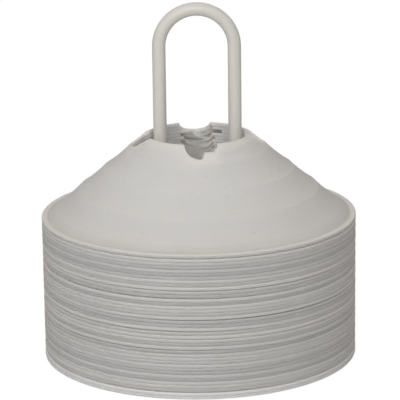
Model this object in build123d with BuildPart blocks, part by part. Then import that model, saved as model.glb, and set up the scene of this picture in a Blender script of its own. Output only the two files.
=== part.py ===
from build123d import *
import os
from math import radians, sin

# Disc marker, millimetres. Heights on a disc are counted from the underside of its brim.
disc_radius = 95.0
disc_height = 50.7
disc_wall = 1.72
brim_width = 3.8
hole_radius = 30.0
crown_width = 3.5
crown_drop = 1.5
flare_radius = 100.0
first_ridge_radius = 42.5
ridge_spacing = 15.0
ridge_count = 3
brim_round = 0.6
notch_radius = 9.6
notch_count = 4

# The stack. A loose seat lifts its disc, and every disc above it, by this much more.
# Turns are in degrees about the handle.
disc_count = 40
seat_clearance = 0.36
loose_seats = {3: 0.45, 9: 0.2, 15: 0.4, 18: 0.4, 20: 0.45, 23: 0.6, 29: 0.4, 31: 0.4, 40: 0.48}
turn_limit = 2.0
turn_step = 137.5
top_turns = {40: 3.4, 39: 1.0, 38: -11.0}

# Carrier.
tube_radius = 4.0
tube_wall = 1.0
leg_spacing = 45.0
handle_height = 215.0
base_thickness = 5.0
arm_width = 24.0
arm_corner = 8.0
lug_thickness = 5.0
lug_width = 16.0
socket_wall = 3.0
socket_height = 24.0
socket_clearance = 0.05
plug_length = 18.0
plug_clearance = 0.02
screw_radius = 2.0
screw_length = 16.0
screw_head_radius = 3.8
screw_head_depth = 2.2
screw_recess = 0.3
screw_clearance = 0.2
drive_width = 1.0
drive_length = 4.4
drive_depth = 1.1

crown_radius = hole_radius + crown_width
brim_radius = disc_radius - brim_width
crown_height = disc_height - crown_drop
stack_pitch = disc_wall + seat_clearance
leg_x = leg_spacing / 2


def slope_point(radius):
    share = (radius - crown_radius) / (brim_radius - crown_radius)
    return radius, crown_height + share * (disc_wall - crown_height)


ridge_radii = [first_ridge_radius + ridge_spacing * step for step in range(ridge_count)]
ridges = [slope_point(radius) for radius in (crown_radius, *ridge_radii, brim_radius)]


def seat_height(number):
    lifts = sum(lift for seat, lift in loose_seats.items() if seat <= number)
    return (number - 1) * stack_pitch + lifts


def disc_turn(number):
    return top_turns.get(number, turn_limit * sin(radians(turn_step * number)))


def lowered(point):
    return point[0], point[1] - disc_wall


def disc_surface(points):
    Line((hole_radius, points[0][1] + crown_drop), points[0])
    for inner, outer in zip(points, points[1:]):
        RadiusArc(inner, outer, flare_radius)


os.makedirs("parts", exist_ok=True)

# The discs, from the floor up.
for number in range(1, disc_count + 1):
    seat = seat_height(number)
    turn = disc_turn(number)
    with BuildPart() as disc:
        with BuildSketch(Plane.XZ) as disc_section:
            with BuildLine():
                disc_surface(ridges)
                Line(ridges[-1], (disc_radius, disc_wall))
                Line((disc_radius, disc_wall), (disc_radius, 0))
                Line((disc_radius, 0), lowered(ridges[-1]))
                disc_surface([lowered(point) for point in ridges])
                Line((hole_radius, disc_height - disc_wall), (hole_radius, disc_height))
            make_face()
            fillet(disc_section.vertices().sort_by(Axis.X)[-2:], brim_round)
        revolve(axis=Axis.Z)
        with BuildSketch(Plane.XY):
            with PolarLocations(hole_radius, notch_count, start_angle=turn - 90):
                Circle(notch_radius)
        extrude(amount=disc_height, mode=Mode.SUBTRACT)
    placed_disc = Pos(0, 0, seat) * disc.part
    placed_disc.label = f"disc_{number:02d}"
    export_step(placed_disc, f"parts/disc_{number:02d}.step")

# The handle: one tube bent into an arch, its feet standing in the base's sockets.
arch_height = handle_height - tube_radius - leg_x
with BuildPart() as carry_handle:
    with BuildLine(Plane.XZ) as handle_path:
        Line((-leg_x, base_thickness), (-leg_x, arch_height))
        ThreePointArc((-leg_x, arch_height), (0, arch_height + leg_x), (leg_x, arch_height))
        Line((leg_x, arch_height), (leg_x, base_thickness))
    with BuildSketch(Plane.XY.offset(base_thickness)):
        with Locations((-leg_x, 0)):
            Circle(tube_radius)
            Circle(tube_radius - tube_wall, mode=Mode.SUBTRACT)
    sweep(path=handle_path.wire())
carry_handle.part.label = "carry_handle"
export_step(carry_handle.part, "parts/carry_handle.step")

# The base: four arms on the floor, with upright lugs that catch the lowest disc under a ridge.
arm_reach, ridge_height = lowered(ridges[-2])
lug_height = ridge_height - seat_clearance
socket_radius = tube_radius + socket_clearance
with BuildPart() as carrier_base:
    with BuildSketch(Plane.XY) as arms:
        Rectangle(2 * arm_reach, arm_width)
        Rectangle(arm_width, 2 * arm_reach)
        fillet(arms.vertices().group_by(SortBy.DISTANCE)[0], arm_corner)
        Circle(arm_reach, mode=Mode.INTERSECT)
    extrude(amount=base_thickness)
    with BuildSketch(Plane.XY.offset(base_thickness)):
        Rectangle(2 * arm_reach, lug_width)
        Rectangle(lug_width, 2 * arm_reach)
        Circle(arm_reach, mode=Mode.INTERSECT)
        Circle(arm_reach - lug_thickness, mode=Mode.SUBTRACT)
    extrude(amount=lug_height - base_thickness)
    with BuildSketch(Plane.XY.offset(base_thickness)):
        with GridLocations(leg_spacing, 0, 2, 1):
            Circle(socket_radius + socket_wall)
            Circle(socket_radius, mode=Mode.SUBTRACT)
    extrude(amount=socket_height)
    with GridLocations(leg_spacing, 0, 2, 1):
        Cylinder(
            screw_radius + screw_clearance,
            base_thickness,
            align=(Align.CENTER, Align.CENTER, Align.MIN),
            mode=Mode.SUBTRACT,
        )
        Cylinder(
            screw_head_radius + screw_clearance,
            screw_recess,
            align=(Align.CENTER, Align.CENTER, Align.MIN),
            mode=Mode.SUBTRACT,
        )
    with Locations((0, 0, screw_recess)):
        with GridLocations(leg_spacing, 0, 2, 1):
            Cone(
                screw_head_radius + screw_clearance,
                screw_radius + screw_clearance,
                screw_head_depth,
                align=(Align.CENTER, Align.CENTER, Align.MIN),
                mode=Mode.SUBTRACT,
            )
carrier_base.part.label = "carrier_base"
export_step(carrier_base.part, "parts/carrier_base.step")

# A plug in each foot of the tube takes the screw that comes up through the base.
with BuildPart() as leg_plugs:
    with BuildSketch(Plane.XY.offset(base_thickness)):
        with GridLocations(leg_spacing, 0, 2, 1):
            Circle(tube_radius - tube_wall - plug_clearance)
            Circle(screw_radius + plug_clearance, mode=Mode.SUBTRACT)
    extrude(amount=plug_length)
leg_plugs.part.label = "leg_plugs"
export_step(leg_plugs.part, "parts/leg_plugs.step")

with BuildPart() as base_screws:
    with Locations((0, 0, screw_recess)):
        with GridLocations(leg_spacing, 0, 2, 1):
            Cone(
                screw_head_radius,
                screw_radius,
                screw_head_depth,
                align=(Align.CENTER, Align.CENTER, Align.MIN),
            )
            Cylinder(screw_radius, screw_length, align=(Align.CENTER, Align.CENTER, Align.MIN))
    with BuildSketch(Plane.XY.offset(screw_recess)):
        with GridLocations(leg_spacing, 0, 2, 1):
            Rectangle(drive_length, drive_width)
            Rectangle(drive_width, drive_length)
    extrude(amount=drive_depth, mode=Mode.SUBTRACT)
base_screws.part.label = "base_screws"
export_step(base_screws.part, "parts/base_screws.step")
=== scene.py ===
import math

import bmesh
import bpy
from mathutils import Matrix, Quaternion, Vector


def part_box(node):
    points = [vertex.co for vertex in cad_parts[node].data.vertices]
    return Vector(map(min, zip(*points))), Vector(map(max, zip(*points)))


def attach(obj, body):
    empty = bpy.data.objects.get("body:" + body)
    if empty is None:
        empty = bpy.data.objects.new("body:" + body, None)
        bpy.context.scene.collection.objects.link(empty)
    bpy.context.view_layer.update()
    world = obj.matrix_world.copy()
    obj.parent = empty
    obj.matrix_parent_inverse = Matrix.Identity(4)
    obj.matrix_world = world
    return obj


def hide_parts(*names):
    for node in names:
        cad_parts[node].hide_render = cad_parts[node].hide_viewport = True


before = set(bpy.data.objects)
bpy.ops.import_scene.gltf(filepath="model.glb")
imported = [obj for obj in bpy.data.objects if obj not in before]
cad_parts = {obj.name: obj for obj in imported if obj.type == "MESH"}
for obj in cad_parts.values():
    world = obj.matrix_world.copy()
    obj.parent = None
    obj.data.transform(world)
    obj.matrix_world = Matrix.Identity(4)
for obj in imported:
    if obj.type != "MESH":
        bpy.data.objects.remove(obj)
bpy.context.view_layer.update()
scene = bpy.context.scene
scene.view_settings.view_transform = "Standard"
millimetre = 0.001
print("stage: frame loaded,", len(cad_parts), "nodes")


class Wire:  # a socket that can be used in sums
    def __init__(self, board, socket):
        self.board = board
        self.socket = socket

    def math(self, operation, *others):
        sockets = dict(enumerate((self, *others)))
        return self.board.add("ShaderNodeMath", {"operation": operation}, sockets)

    def __add__(self, other):
        return self.math("ADD", other)

    def __sub__(self, other):
        return self.math("SUBTRACT", other)

    def __mul__(self, other):
        return self.math("MULTIPLY", other)

    def __truediv__(self, other):
        return self.math("DIVIDE", other)

    def __neg__(self):
        return self.math("MULTIPLY", -1.0)

    def __radd__(self, other):
        return self.math("ADD", other)

    def __rsub__(self, other):
        return (-self).math("ADD", other)

    def __rmul__(self, other):
        return self.math("MULTIPLY", other)

    def clamped(self, low=0.0, high=1.0):
        return self.math("MAXIMUM", low).math("MINIMUM", high)


class Board:  # a node tree, with one way to add any node
    def __init__(self, tree):
        self.tree = tree

    def add(self, kind, settings=None, sockets=None, out=0):
        node = self.tree.nodes.new(kind)
        for name, value in (settings or {}).items():
            setattr(node, name, value)
        for key, value in (sockets or {}).items():
            if isinstance(value, Wire):
                self.tree.links.new(value.socket, node.inputs[key])
            else:
                node.inputs[key].default_value = value
        if out is None:
            return node
        return Wire(self, node.outputs[out])


def linkObject(name, mesh):
    made = bpy.data.objects.new(name, mesh)
    scene.collection.objects.link(made)
    return made


def plainMesh(source):
    bpy.context.view_layer.update()
    shown = source.evaluated_get(bpy.context.evaluated_depsgraph_get())
    return bpy.data.meshes.new_from_object(shown)


def newShapeTree(name, sockets):
    tree = bpy.data.node_groups.new(name, "GeometryNodeTree")
    tree.interface.new_socket("Geometry", in_out="INPUT", socket_type="NodeSocketGeometry")
    tree.interface.new_socket("Geometry", in_out="OUTPUT", socket_type="NodeSocketGeometry")
    for socketName, kind in sockets.items():
        tree.interface.new_socket(socketName, in_out="INPUT", socket_type="NodeSocket" + kind)
    board = Board(tree)
    entry = board.add("NodeGroupInput", out=None)
    given = {socket.name: Wire(board, socket) for socket in entry.outputs if socket.name}
    return tree, board, given


def endShapeTree(board, geometry, material):
    whole = board.add("GeometryNodeRealizeInstances", None, {"Geometry": geometry})
    coated = board.add("GeometryNodeSetMaterial", None, {"Geometry": whole, "Material": material})
    board.add("NodeGroupOutput", None, {"Geometry": coated}, out=None)


def shapeBy(tree, source, values):
    modifier = source.modifiers.new("shape", "NODES")
    modifier.node_group = tree
    for item in tree.interface.items_tree:
        if item.in_out == "INPUT" and item.name in values:
            modifier[item.identifier] = values[item.name]
    mesh = plainMesh(source)
    source.modifiers.remove(modifier)
    return mesh


def newMaterial(name):
    material = bpy.data.materials.new(name)
    material.use_nodes = True
    material.node_tree.nodes.clear()
    return material, Board(material.node_tree)


def endMaterial(board, sockets):
    shader = board.add("ShaderNodeBsdfPrincipled", None, sockets, out="BSDF")
    board.add("ShaderNodeOutputMaterial", None, {"Surface": shader}, out=None)


def objectPlace(board):
    return board.add("ShaderNodeTexCoord", out="Object")


def stretched(board, place, scale):
    return board.add("ShaderNodeMapping", None, {"Vector": place, "Scale": scale})


def noise(board, place, scale, detail=3.0):
    sockets = {"Vector": place, "Scale": scale, "Detail": detail}
    return board.add("ShaderNodeTexNoise", None, sockets, out="Fac")


def attribute(board, name, out="Fac"):
    return board.add("ShaderNodeAttribute", {"attribute_name": name}, out=out)


def between(board, amount, low, high):
    sockets = {"Value": amount, "From Min": low, "From Max": high}
    return board.add("ShaderNodeMapRange", {"clamp": True}, sockets, out="Result")


def mixColour(board, amount, first, second):
    ends = [end if isinstance(end, Wire) else (*end, 1.0) for end in (first, second)]
    sockets = {0: amount, 6: ends[0], 7: ends[1]}  # factor and the two colours
    return board.add("ShaderNodeMix", {"data_type": "RGBA"}, sockets, out=2)


def bump(board, height, strength, distance):
    sockets = {"Height": height, "Strength": strength, "Distance": distance}
    return board.add("ShaderNodeBump", None, sockets)


# marker discs, all one moulding, metres
discLow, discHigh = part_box("disc_01")
disc = {
    "count": sum(name.startswith("disc_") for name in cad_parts),
    "radius": discHigh.x,
    "height": discHigh.z - discLow.z,
    "wall": 0.00172,
    "brimWidth": 0.0038,
    "brimRound": 0.0006,
    "brimUnderRound": 0.0003,
    "holeRadius": 0.030,
    "holeRound": 0.0004,
    "holeUnderRound": 0.0002,
    "crownWidth": 0.0035,
    "crownDrop": 0.0015,
    "flareRadius": 0.100,
    "firstRidge": 0.0425,
    "ridgeSpacing": 0.015,
    "ridgeCount": 3,
    "ridgeSoftness": 0.00025,
    "beadHeight": 0.00016,  # fine raised line along each ridge
    "beadWidth": 0.0007,
    "rimLip": 0.00027,  # both edges are thicker than the wall
    "holeLip": 0.94,  # share of the gap below
    "lipWidth": 0.0025,
    "notchRadius": 0.0096,
    "notchCount": 4,
    "roundFrom": 0.046,  # rows inside this radius bend round the notches
    "roundSteps": 4,
    "notchSteps": 12,
    "plainSteps": 24,
    "crownRows": (0.4, 0.6, 0.8),  # shares of the crown's width
    "topRows": (0.0, 0.025, 0.05, 0.08, 0.12, 0.3, 0.5, 0.7, 0.88, 0.92, 0.95, 0.975),
    "underRows": (0.0, 0.05, 0.12, 0.5, 0.88, 0.95),  # both are shares of a tier's width
    "brimTopRows": (0.0, 0.0003, 0.0008, 0.0020),  # distances from the start of the brim
    "brimUnderRows": (0.0, 0.0006),
    "cloudScale": 22.0,
    "grainScale": 900.0,
    "grainDepth": 0.0003,
    "speckScale": 420.0,
    "speckRange": (0.70, 0.76),
    "rubScale": (9.0, 9.0, 900.0),  # fine rings, long round the disc
    "rubRange": (0.56, 0.74),
    "creaseShadeReach": 0.0055,  # painted shade in the crease above the brim
    "creaseShadePast": 0.0007,
    "dullBandPastHoleLight": (0.060, 0.088),  # radii where a dull disc starts and ends to darken; inside it the disc keeps a lighter colour, painted light around the hole
    "colour": (0.88, 0.855, 0.81),
    "rubbedColour": (0.78, 0.755, 0.71),
    "dustAndShadeColour": (0.62, 0.58, 0.53),
    # rim's outer edge: grey scuffs, and painted shade on the side of the stack
    "scuffedAndShadedColour": (0.455, 0.45, 0.465),
    "lowDiscAndHoleLightColour": (0.95, 0.935, 0.905),  # the lowest discs, and painted light on the edges of the hole
    "holeLightBand": (0.0012, 0.0004),  # from the hole, where it starts and is full
    "roughness": 0.42,
    "glow": 0.7,  # share of the light that goes into the thin plastic
    "glowDepth": 0.006,
    "glowTint": (1.0, 0.95, 0.85),
}

# how the discs lie on each other
stack = {
    "turnLimit": 2.0,
    "turnStep": 137.5,
    "topTurns": {40: 3.4, 39: 1.0, 38: -11.0},
    # first and last disc of a bunch, lean of its brim in mm, and the side that it leans up to
    "leans": [
        (3, 8, 0.12, 200),
        (9, 14, 0.10, 40),
        (15, 17, 0.20, 190),
        (18, 19, 0.12, 20),
        (20, 22, 0.26, 180),
        (23, 28, 0.20, 5),
        (29, 30, 0.16, 170),
        (31, 39, 0.08, 300),
        (40, 40, 0.18, 10),
    ],
    "wave": 0.00002,
    "waveCount": 3.0,
    "waveShift": 900.0,  # radians a metre up the stack
    "ringShift": 200.0,  # sets the rubs of one disc apart from the next
    "slide": 0.00020,  # half of how far a brim stands in from the rest
    "slideStep": 1.7,
    # the lowest discs, coloured lighter than the rest
    "lighterLowDiscs": 2,
    "lowDiscTone": -0.3,
    "dull": 0.35,
    "dullSpread": 0.45,
    "dullStep": 2.4,
    "slowDull": 0.7,  # a second, slower change up the stack
    "slowDullStep": 0.9,
    "slowDullStart": 1.0,
}


def makeDiscPlastic():
    material, board = newMaterial("discPlastic")
    place = objectPlace(board)
    rings = stretched(board, attribute(board, "ringPlace", "Vector"), disc["rubScale"])
    tone = attribute(board, "tone")
    radius = attribute(board, "rowRadius")
    cloud = noise(board, place, disc["cloudScale"])
    grain = noise(board, place, disc["grainScale"], 2.0)
    rubs = between(board, noise(board, rings, 1.0, 4.0), *disc["rubRange"])
    specks = between(board, noise(board, place, disc["speckScale"], 1.0), *disc["speckRange"])
    brimStart = disc["radius"] - disc["brimWidth"]
    # painted shade: the crease above the brim is coloured darker
    intoCrease = between(board, radius, brimStart - disc["creaseShadeReach"], brimStart)
    paintedCreaseShade = intoCrease * between(board, radius, brimStart + disc["creaseShadePast"], brimStart)
    outerEdge = between(board, radius, disc["radius"] - disc["brimRound"], disc["radius"])
    # dull discs darken only from the band out, so near the hole they stay lighter: painted light there
    dulled = tone * between(board, radius, *disc["dullBandPastHoleLight"])
    # grey scuffs on the rim's outer edge, with painted shade on the side of the stack
    scuffsAndShade = outerEdge * (0.58 + cloud * 0.24) * (0.55 + tone * 0.65)
    # real specks of dust, plus the painted shade in the crease
    dustAndCreaseShade = paintedCreaseShade * (0.35 + cloud * 0.5) + specks * 0.25
    worn = rubs * 0.30 + (cloud - 0.5) * 0.35 + dulled
    rubbed = mixColour(board, worn, disc["colour"], disc["rubbedColour"])
    dustyAndShaded = mixColour(board, dustAndCreaseShade, rubbed, disc["dustAndShadeColour"])
    scuffedAndShaded = mixColour(board, scuffsAndShade, dustyAndShaded, disc["scuffedAndShadedColour"])
    holeLightStart, holeLightFull = disc["holeLightBand"]
    # painted light: the edges of the hole are coloured lighter
    paintedHoleLight = between(board, radius, disc["holeRadius"] + holeLightStart, disc["holeRadius"] + holeLightFull)
    holeLightAndLowDiscs = paintedHoleLight.math("MAXIMUM", between(board, tone, 0.0, stack["lowDiscTone"]))
    colour = mixColour(board, holeLightAndLowDiscs, scuffedAndShaded, disc["lowDiscAndHoleLightColour"])
    rough = disc["roughness"] + rubs * 0.10 + (cloud - 0.5) * 0.10
    height = grain + rubs * 0.5
    endMaterial(board, {
        "Base Color": colour,
        "Roughness": rough,
        "Normal": bump(board, height, 0.10, disc["grainDepth"]),
        "IOR": 1.5,
        "Specular IOR Level": 0.4,
        "Subsurface Weight": disc["glow"],
        "Subsurface Radius": disc["glowTint"],
        "Subsurface Scale": disc["glowDepth"],
    })
    return material


def discEdges():  # radii where the profile changes: crown, ridges, brim
    crown = disc["holeRadius"] + disc["crownWidth"]
    ridges = [disc["firstRidge"] + disc["ridgeSpacing"] * step for step in range(disc["ridgeCount"])]
    return [crown, *ridges, disc["radius"] - disc["brimWidth"]]


def roundedEdge(edge, size, inwards):  # from flat to upright, drops as shares of the wall
    rows = []
    for step in range(disc["roundSteps"] + 1):
        turn = step / disc["roundSteps"] * math.pi / 2
        radius = edge + inwards * size * (1 - math.sin(turn))
        rows.append((radius, size * (1 - math.cos(turn)) / disc["wall"]))
    return rows


def discRows():  # radius and share of the wall below the top, all round one cut of the disc
    hole, rim = disc["holeRadius"], disc["radius"]
    edges = discEdges()

    def side(shares, brimSteps):  # closer together at the ridges
        radii = [hole + disc["crownWidth"] * share for share in disc["crownRows"]]
        for inner, outer in zip(edges, edges[1:]):
            radii += [inner + (outer - inner) * share for share in shares]
        return radii + [edges[-1] + step for step in brimSteps]

    top = side(disc["topRows"], disc["brimTopRows"])
    under = side(disc["underRows"], disc["brimUnderRows"])
    rimEdge = roundedEdge(rim, disc["brimRound"], -1)
    rimUnder = roundedEdge(rim, disc["brimUnderRound"], -1)
    holeEdge = roundedEdge(hole, disc["holeRound"], 1)
    holeUnder = roundedEdge(hole, disc["holeUnderRound"], 1)
    rows = list(reversed(holeEdge))
    rows += [(radius, 0.0) for radius in top]
    rows += rimEdge
    rows += [(radius, 1 - drop) for radius, drop in reversed(rimUnder)]
    rows += [(radius, 1.0) for radius in reversed(under)]
    rows += [(radius, 1 - drop) for radius, drop in holeUnder]
    return rows


def discColumns():  # angles, closer together round each notch
    hole, notch = disc["holeRadius"], disc["notchRadius"]
    quarter = 2 * math.pi / disc["notchCount"]
    lastTurn = math.pi - math.acos(notch / (2 * hole))
    turns = [lastTurn * step / disc["notchSteps"] for step in range(disc["notchSteps"] + 1)]
    cut = [math.atan2(notch * math.sin(turn), hole + notch * math.cos(turn)) for turn in turns]
    plainStep = (quarter - 2 * cut[-1]) / disc["plainSteps"]
    plain = [cut[-1] + plainStep * step for step in range(1, disc["plainSteps"])]
    angles = cut + plain + [quarter - angle for angle in reversed(cut[1:])]
    return [quarter * number + angle for number in range(disc["notchCount"]) for angle in angles]


def discGrid():
    rows = discRows()
    columns = discColumns()
    points = []
    for radius, drop in rows:
        height = -disc["wall"] * drop
        points += [(radius * math.cos(angle), radius * math.sin(angle), height) for angle in columns]
    wide = len(columns)
    faces = []
    for row in range(len(rows)):
        first = row * wide
        second = (row + 1) % len(rows) * wide
        for column in range(wide):
            beside = (column + 1) % wide
            faces.append((first + column, second + column, second + beside, first + beside))
    mesh = bpy.data.meshes.new("discGrid")
    mesh.from_pydata(points, [], faces)
    values = {
        "rowRadius": [radius for radius, drop in rows for angle in columns],
        "rowDrop": [drop for radius, drop in rows for angle in columns],
        "columnAngle": [angle for row in rows for angle in columns],
    }
    for name, numbers in values.items():
        mesh.attributes.new(name, "FLOAT", "POINT").data.foreach_set("value", numbers)
    return mesh


def makeDiscTree():
    sizes = [
        "Radius", "Height", "Wall", "Hole Radius", "Notch Radius", "Crown Slope", "Flare", "Softness",
        "Round From", "Bead Height", "Bead Width", "Rim Lip", "Hole Lip", "Lip Width", "Brim Radius",
        "Seat", "Turn", "Lean", "Lean Towards", "Wave", "Slide", "Slide Towards", "Tone",
    ]
    sockets = {size: "Float" for size in sizes}
    tree, board, given = newShapeTree("discShape", {**sockets, "Material": "Material"})

    def grid(name):
        return board.add("GeometryNodeInputNamedAttribute", {"data_type": "FLOAT"}, {"Name": name})

    def keep(geometry, name, kind, value):
        settings = {"data_type": kind, "domain": "POINT"}
        sockets = {"Geometry": geometry, "Name": name, "Value": value}
        return board.add("GeometryNodeStoreNamedAttribute", settings, sockets)

    rowRadius, rowDrop, columnAngle = grid("rowRadius"), grid("rowDrop"), grid("columnAngle")
    hole, notch = given["Hole Radius"], given["Notch Radius"]
    wall, softness, lipWidth = given["Wall"], given["Softness"], given["Lip Width"]

    # how far from the axis the hole's edge is at this angle
    quarter = 2 * math.pi / disc["notchCount"]
    aside = (columnAngle + quarter / 2).math("FLOORED_MODULO", quarter) - quarter / 2
    half = hole * aside.math("SINE")
    depth = (notch * notch - half * half).math("MAXIMUM", 0.0).math("SQRT")
    notchReach = 2 * math.asin(disc["notchRadius"] / disc["holeRadius"] / 2)
    inNotch = aside.math("ABSOLUTE").math("LESS_THAN", notchReach)
    edge = hole + inNotch * (hole * aside.math("COSINE") + depth - hole).math("MAXIMUM", 0.0)

    # rows near the hole are pushed out to that edge
    share = (rowRadius - hole) / (given["Round From"] - hole)
    pushed = edge + share * (given["Round From"] - edge)
    inner = rowRadius.math("LESS_THAN", given["Round From"])
    radius = rowRadius + inner * (pushed - rowRadius)

    # hollow tiers between the ridges, on a straight cone from the crown to the brim
    edges = discEdges()
    crown = given["Height"] - (radius - hole) * given["Crown Slope"]
    crownHeight = given["Height"] - given["Crown Slope"] * (edges[0] - disc["holeRadius"])
    slope = (wall - crownHeight) / (edges[-1] - edges[0])
    cone = crownHeight + (radius - edges[0]) * slope
    surface = crown
    for first, last in zip(edges, edges[1:]):
        tier = cone - given["Flare"] * (radius - first) * (last - radius)
        surface = surface.math("SMOOTH_MIN", tier, softness)
    surface = surface.math("SMOOTH_MAX", wall, softness)
    for ridge in edges[1:-1]:
        away = (radius - ridge) / given["Bead Width"]
        surface = surface + given["Bead Height"] * (away * away * -1.0).math("EXPONENT")

    # thicker edges, all of it on the underside
    toRim = ((radius - given["Radius"]) / lipWidth + 2.0).clamped()
    toHole = ((edge - radius) / lipWidth + 2.0).clamped()
    thickness = wall + given["Rim Lip"] * toRim + given["Hole Lip"] * toHole

    # place in the stack, with the lean and wave of a soft disc, its brim standing in on one side
    angle = columnAngle + given["Turn"]
    onBrim = ((radius - given["Brim Radius"]) / lipWidth * 2.0).clamped()
    inwards = given["Slide"] * (1.0 - (angle - given["Slide Towards"]).math("COSINE"))
    reach = radius - onBrim * inwards
    out = radius / given["Radius"]
    lean = given["Lean"] * (angle - given["Lean Towards"]).math("COSINE")
    wavePlace = angle * stack["waveCount"] + given["Seat"] * stack["waveShift"]
    wave = given["Wave"] * wavePlace.math("SINE")
    height = surface - thickness * rowDrop + given["Seat"] + out * out * (lean + wave)
    east, north = angle.math("COSINE"), angle.math("SINE")
    place = board.add("ShaderNodeCombineXYZ", None, {0: reach * east, 1: reach * north, 2: height})
    apart = north + given["Seat"] * stack["ringShift"]
    ring = board.add("ShaderNodeCombineXYZ", None, {0: east, 1: apart, 2: radius})
    moved = {"Geometry": given["Geometry"], "Position": place}
    shaped = board.add("GeometryNodeSetPosition", None, moved)
    shaped = keep(shaped, "ringPlace", "FLOAT_VECTOR", ring)
    shaped = keep(shaped, "tone", "FLOAT", given["Tone"])
    shaped = board.add("GeometryNodeSetShadeSmooth", None, {"Geometry": shaped, "Shade Smooth": True})
    endShapeTree(board, shaped, given["Material"])
    return tree


def discTurn(number):
    swing = stack["turnLimit"] * math.sin(math.radians(stack["turnStep"] * number))
    return math.radians(stack["topTurns"].get(number, swing) - 90)


def discLean(number):
    for first, last, lean, towards in stack["leans"]:
        if first <= number <= last:
            return lean * millimetre, math.radians(towards)
    return 0.0, 0.0


def discTone(number):  # how dull a disc is, below 0 for the lowest, lighter ones
    if number <= stack["lighterLowDiscs"]:
        return stack["lowDiscTone"]
    swing = math.sin(number * stack["dullStep"])
    slowTurn = number * stack["slowDullStep"] + stack["slowDullStart"]
    slowSwing = stack["slowDull"] * math.sin(slowTurn)
    return max(0.0, stack["dull"] + stack["dullSpread"] * (swing + slowSwing))


def discSlide(number):  # the lowest discs and the top one are not pushed aside
    if stack["lighterLowDiscs"] < number < disc["count"]:
        return stack["slide"] * abs(math.sin(number * stack["slideStep"]))
    return 0.0


def makeDiscs():
    plastic = makeDiscPlastic()
    tree = makeDiscTree()
    grid = linkObject("discGrid", discGrid())
    edges = discEdges()
    rise = (disc["height"] - disc["crownDrop"] - disc["wall"]) / (edges[-1] - edges[0])
    values = {
        "Radius": disc["radius"],
        "Height": disc["height"],
        "Wall": disc["wall"],
        "Hole Radius": disc["holeRadius"],
        "Notch Radius": disc["notchRadius"],
        "Crown Slope": disc["crownDrop"] / disc["crownWidth"],
        "Flare": (1 + rise * rise) ** 1.5 / (2 * disc["flareRadius"]),
        "Softness": disc["ridgeSoftness"],
        "Round From": disc["roundFrom"],
        "Bead Height": disc["beadHeight"],
        "Bead Width": disc["beadWidth"],
        "Lip Width": disc["lipWidth"],
        "Brim Radius": edges[-1],
        "Material": plastic,
    }
    below = -disc["wall"]  # the lowest disc stands on the floor
    for number in range(1, disc["count"] + 1):
        node = f"disc_{number:02d}"
        lean, towards = discLean(number)
        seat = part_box(node)[0].z
        gap = seat - below - disc["wall"]
        below = seat
        values["Seat"] = seat
        values["Turn"] = discTurn(number)
        values["Lean"] = lean
        values["Lean Towards"] = towards
        values["Wave"] = stack["wave"] if lean else 0.0
        values["Rim Lip"] = disc["rimLip"] if gap > disc["rimLip"] else 0.0
        values["Hole Lip"] = disc["holeLip"] * gap
        values["Tone"] = discTone(number)
        values["Slide"] = discSlide(number)
        values["Slide Towards"] = math.radians(number * stack["turnStep"])
        shell = linkObject(f"marker_disc_{number:02d}", shapeBy(tree, grid, values))
        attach(shell, node)
        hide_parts(node)
    bpy.data.objects.remove(grid)
    print("stage: discs made,", disc["count"])


# carrying handle, one bent tube
handle = {
    "tubeRadius": 0.004,
    "legSpacing": 0.045,
    "height": 0.215,
    "foot": 0.0052,
    "pathSteps": 220,
    "tubeSides": 48,
    "streakScale": (420.0, 420.0, 14.0),  # long down the legs
    "streakRange": (0.45, 0.75),
    "cloudScale": 45.0,
    "peelScale": 700.0,
    "peelDepth": 0.0003,
    "nickStretch": (1.0, 1.0, 0.5),
    "nickScale": 520.0,
    "nickRange": (0.68, 0.74),
    "colour": (0.755, 0.735, 0.70),
    "streakColour": (0.65, 0.63, 0.595),
    "rubbedColour": (0.62, 0.60, 0.57),
    "roughness": 0.38,
}


def makeTubeCoat():
    material, board = newMaterial("tubeCoat")
    place = objectPlace(board)
    streaks = noise(board, stretched(board, place, handle["streakScale"]), 1.0)
    cloud = noise(board, place, handle["cloudScale"])
    peel = noise(board, place, handle["peelScale"], 2.0)
    tall = stretched(board, place, handle["nickStretch"])
    nicks = between(board, noise(board, tall, handle["nickScale"], 2.0), *handle["nickRange"])
    faint = between(board, streaks, *handle["streakRange"]) * 0.35 + (cloud - 0.5) * 0.25
    coat = mixColour(board, faint, handle["colour"], handle["streakColour"])
    colour = mixColour(board, nicks * 0.6, coat, handle["rubbedColour"])
    endMaterial(board, {
        "Base Color": colour,
        "Roughness": handle["roughness"] + (cloud - 0.5) * 0.12 + nicks * 0.2,
        "Normal": bump(board, peel - nicks * 0.6, 0.12, handle["peelDepth"]),
        "Coat Weight": 0.15,
        "Coat Roughness": 0.25,
    })
    return material


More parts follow.
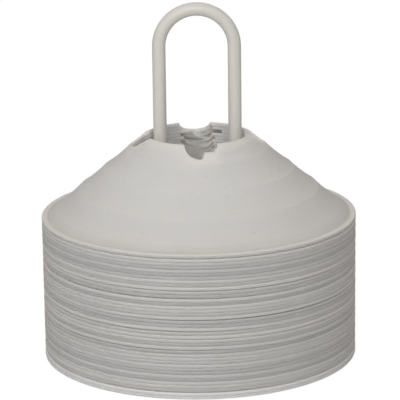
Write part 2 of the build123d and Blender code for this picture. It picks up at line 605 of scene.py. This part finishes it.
def makeTubeTree():
    sockets = {name: "Float" for name in ("Tube Radius", "Arch Radius", "Foot", "Leg Length")}
    sockets.update({"Path Steps": "Int", "Tube Sides": "Int", "Material": "Material"})
    tree, board, given = newShapeTree("bentTube", sockets)
    arch, leg = given["Arch Radius"], given["Leg Length"]
    line = board.add("GeometryNodeCurvePrimitiveLine")
    steps = board.add("GeometryNodeResampleCurve", None, {"Curve": line, "Count": given["Path Steps"]})
    along = board.add("GeometryNodeSplineParameter", out="Factor") * (leg * 2.0 + arch * math.pi)
    turn = ((along - leg) / arch).clamped(0.0, math.pi)
    down = (along - leg - arch * math.pi).math("MAXIMUM", 0.0)
    height = given["Foot"] + along.math("MINIMUM", leg) + arch * turn.math("SINE") - down
    place = board.add("ShaderNodeCombineXYZ", None, {0: -(arch * turn.math("COSINE")), 2: height})
    path = board.add("GeometryNodeSetPosition", None, {"Geometry": steps, "Position": place})
    section = {"Resolution": given["Tube Sides"], "Radius": given["Tube Radius"]}
    ring = board.add("GeometryNodeCurvePrimitiveCircle", None, section)
    swept = {"Curve": path, "Profile Curve": ring, "Fill Caps": True}
    tube = board.add("GeometryNodeCurveToMesh", None, swept)
    tube = board.add("GeometryNodeSetShadeSmooth", None, {"Geometry": tube, "Shade Smooth": True})
    endShapeTree(board, tube, given["Material"])
    return tree


def makeHandle():
    arch = handle["legSpacing"] / 2
    blank = linkObject("tubeBlank", bpy.data.meshes.new("tubeBlank"))
    values = {
        "Tube Radius": handle["tubeRadius"],
        "Arch Radius": arch,
        "Foot": handle["foot"],
        "Leg Length": handle["height"] - handle["tubeRadius"] - arch - handle["foot"],
        "Path Steps": handle["pathSteps"],
        "Tube Sides": handle["tubeSides"],
        "Material": makeTubeCoat(),
    }
    tube = linkObject("bent_tube_handle", shapeBy(makeTubeTree(), blank, values))
    bpy.data.objects.remove(blank)
    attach(tube, "carrier")
    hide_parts("carry_handle")
    print("stage: handle made")


# foot of the carrier, hidden under the stack until it is lifted
base = {
    "edgeRound": 0.0007,
    "edgeSteps": 3,
    "edgeAngle": 40,  # sharper edges than this are rounded
    "flatAngle": 0.5,  # triangles this close to one plane become one face
    "mergeReach": 0.000002,  # points this close become one
    "cloudScale": 60.0,
    "grainScale": 1400.0,
    "grainDepth": 0.0003,
    "scuffStretch": (1.0, 0.2, 1.0),
    "scuffScale": 260.0,
    "scuffRange": (0.60, 0.72),
    "zincScale": 380.0,
    "turningScale": (900.0, 60.0, 900.0),  # fine lines left on a screw
    "turningDepth": 0.0001,
    "roughness": 0.48,
    "plugRoughness": 0.45,
    "screwRoughness": 0.28,
    "colour": (0.74, 0.74, 0.73),
    "shadeColour": (0.60, 0.60, 0.59),
    "plugColour": (0.06, 0.06, 0.065),
    "plugShade": (0.11, 0.11, 0.11),
    "screwColour": (0.62, 0.62, 0.60),
    "screwShade": (0.40, 0.39, 0.36),
}


def makeMouldedPlastic(name, colour, shade, roughness):
    material, board = newMaterial(name)
    place = objectPlace(board)
    cloud = noise(board, place, base["cloudScale"])
    grain = noise(board, place, base["grainScale"], 2.0)
    long = stretched(board, place, base["scuffStretch"])
    scuffs = between(board, noise(board, long, base["scuffScale"], 4.0), *base["scuffRange"])
    endMaterial(board, {
        "Base Color": mixColour(board, cloud * 0.5 + scuffs * 0.4, colour, shade),
        "Roughness": roughness + (cloud - 0.5) * 0.15 + scuffs * 0.08,
        "Normal": bump(board, grain, 0.22, base["grainDepth"]),
    })
    return material


def makeZinc():
    material, board = newMaterial("zincPlate")
    place = objectPlace(board)
    cloud = noise(board, place, base["zincScale"])
    lines = noise(board, stretched(board, place, base["turningScale"]), 1.0, 4.0)
    dulled = cloud * 0.7 + lines * 0.3
    endMaterial(board, {
        "Base Color": mixColour(board, dulled, base["screwColour"], base["screwShade"]),
        "Roughness": base["screwRoughness"] + lines * 0.18,
        "Normal": bump(board, lines, 0.10, base["turningDepth"]),
        "Metallic": 1.0,
    })
    return material


def makeBase():
    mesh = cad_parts["carrier_base"].data.copy()
    work = bmesh.new()
    work.from_mesh(mesh)
    bmesh.ops.remove_doubles(work, verts=work.verts, dist=base["mergeReach"])
    flat = math.radians(base["flatAngle"])
    bmesh.ops.dissolve_limit(work, angle_limit=flat, verts=work.verts, edges=work.edges)
    work.to_mesh(mesh)
    work.free()
    foot = linkObject("carrier_foot", mesh)
    rounding = foot.modifiers.new("rounding", "BEVEL")
    rounding.width = base["edgeRound"]
    rounding.segments = base["edgeSteps"]
    rounding.limit_method = "ANGLE"
    rounding.angle_limit = math.radians(base["edgeAngle"])
    foot.data = plainMesh(foot)
    foot.modifiers.clear()
    foot.data.materials.clear()
    plastic = makeMouldedPlastic("basePlastic", base["colour"], base["shadeColour"], base["roughness"])
    foot.data.materials.append(plastic)
    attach(foot, "carrier")
    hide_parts("carrier_base")
    plug = makeMouldedPlastic("plugPlastic", base["plugColour"], base["plugShade"], base["plugRoughness"])
    for node, material in (("leg_plugs", plug), ("base_screws", makeZinc())):
        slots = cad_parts[node].data.materials
        slots.clear()
        slots.append(material)
    print("stage: carrier foot made")


# camera as in the photograph, metres and degrees
view = {
    "place": (-0.0002, -1.400, 0.4676),
    "target": (0.0009, 0.0, 0.0938),
    "lens": 215.5,
    "sensor": 36.0,
    "clip": (0.01, 50.0),
    "roll": -0.74,
}


def aimed(place, target):
    return (Vector(target) - Vector(place)).to_track_quat("-Z", "Y")


def makeCamera():
    data = bpy.data.cameras.new("camera")
    data.lens = view["lens"]
    data.sensor_width = view["sensor"]
    data.clip_start, data.clip_end = view["clip"]
    camera = linkObject("camera", data)
    roll = Quaternion((0.0, 0.0, 1.0), math.radians(view["roll"]))
    camera.rotation_mode = "QUATERNION"
    camera.rotation_quaternion = aimed(view["place"], view["target"]) @ roll
    camera.location = view["place"]
    scene.camera = camera


# soft studio light and a pale floor
light = {
    "aim": (0.0, 0.0, 0.09),
    "overhead": 0.65,  # the dome is brightest straight up
    "horizon": 0.10,
    "domeColour": (1.0, 0.965, 0.93),
    "glossyWhite": 0.3,  # share of the white backdrop that reflections show
    "lamps": [  # name, place, width, depth, watts, colour
        ("topLamp", (-0.40, -1.60, 1.40), 2.8, 1.0, 12.0, (1.0, 0.93, 0.84)),
        ("fillLamp", (-0.95, -1.90, 0.40), 2.0, 0.8, 3.5, (0.70, 0.85, 1.0)),
        ("frontLamp", (-0.20, -1.90, 0.80), 1.2, 0.8, 8.0, (0.95, 0.97, 1.0)),
    ],
    "floorColour": (0.62, 0.62, 0.62),
    "floorGlow": 0.80,
    "floorWhite": 1.18,  # brings the lit floor up to white for the camera alone
    "floorClear": (0.05, 0.098),  # but not under the stack
    "floorReach": 8.0,
    "floorDrop": 0.0003,
}


def makeLight():
    for name, place, width, depth, watts, colour in light["lamps"]:
        data = bpy.data.lights.new(name, "AREA")
        data.shape = "ELLIPSE"
        data.size = width
        data.size_y = depth
        data.energy = watts
        data.color = colour
        lamp = linkObject(name, data)
        lamp.location = place
        lamp.rotation_mode = "QUATERNION"
        lamp.rotation_quaternion = aimed(place, light["aim"])
    world = bpy.data.worlds.new("studio")
    scene.world = world
    world.use_nodes = True
    world.node_tree.nodes.clear()
    board = Board(world.node_tree)
    camera = board.add("ShaderNodeLightPath", out="Is Camera Ray")
    glossy = board.add("ShaderNodeLightPath", out="Is Glossy Ray")
    way = board.add("ShaderNodeTexCoord", out="Generated")
    up = board.add("ShaderNodeSeparateXYZ", None, {"Vector": way}, out="Z").math("MAXIMUM", 0.0)
    dome = light["horizon"] + up * (light["overhead"] - light["horizon"])
    strength = dome + (camera + glossy * light["glossyWhite"]) * (1.0 - dome)
    colour = mixColour(board, camera, light["domeColour"], (1.0, 1.0, 1.0))
    sky = board.add("ShaderNodeBackground", None, {"Color": colour, "Strength": strength})
    board.add("ShaderNodeOutputWorld", None, {"Surface": sky}, out=None)


def makeFloor():
    mesh = bpy.data.meshes.new("floor")
    reach, low = light["floorReach"], -light["floorDrop"]
    corners = [(-reach, -reach, low), (reach, -reach, low), (reach, reach, low), (-reach, reach, low)]
    mesh.from_pydata(corners, [], [(0, 1, 2, 3)])
    floor = linkObject("floor", mesh)
    material, board = newMaterial("paleFloor")
    camera = board.add("ShaderNodeLightPath", out="Is Camera Ray")
    matt = board.add("ShaderNodeBsdfDiffuse", None, {"Color": (*light["floorColour"], 1)})
    white = {"Color": (1, 1, 1, 1), "Strength": light["floorWhite"]}
    glow = board.add("ShaderNodeEmission", None, white)
    length = {"operation": "LENGTH"}
    away = board.add("ShaderNodeVectorMath", length, {0: objectPlace(board)}, out="Value")
    seen = camera * between(board, away, *light["floorClear"]) * light["floorGlow"]
    mixed = board.add("ShaderNodeMixShader", None, {0: seen, 1: matt, 2: glow})
    board.add("ShaderNodeOutputMaterial", None, {"Surface": mixed}, out=None)
    mesh.materials.append(material)
    print("stage: camera, light and floor made")


makeDiscs()
makeHandle()
makeBase()
makeCamera()
makeLight()
makeFloor()
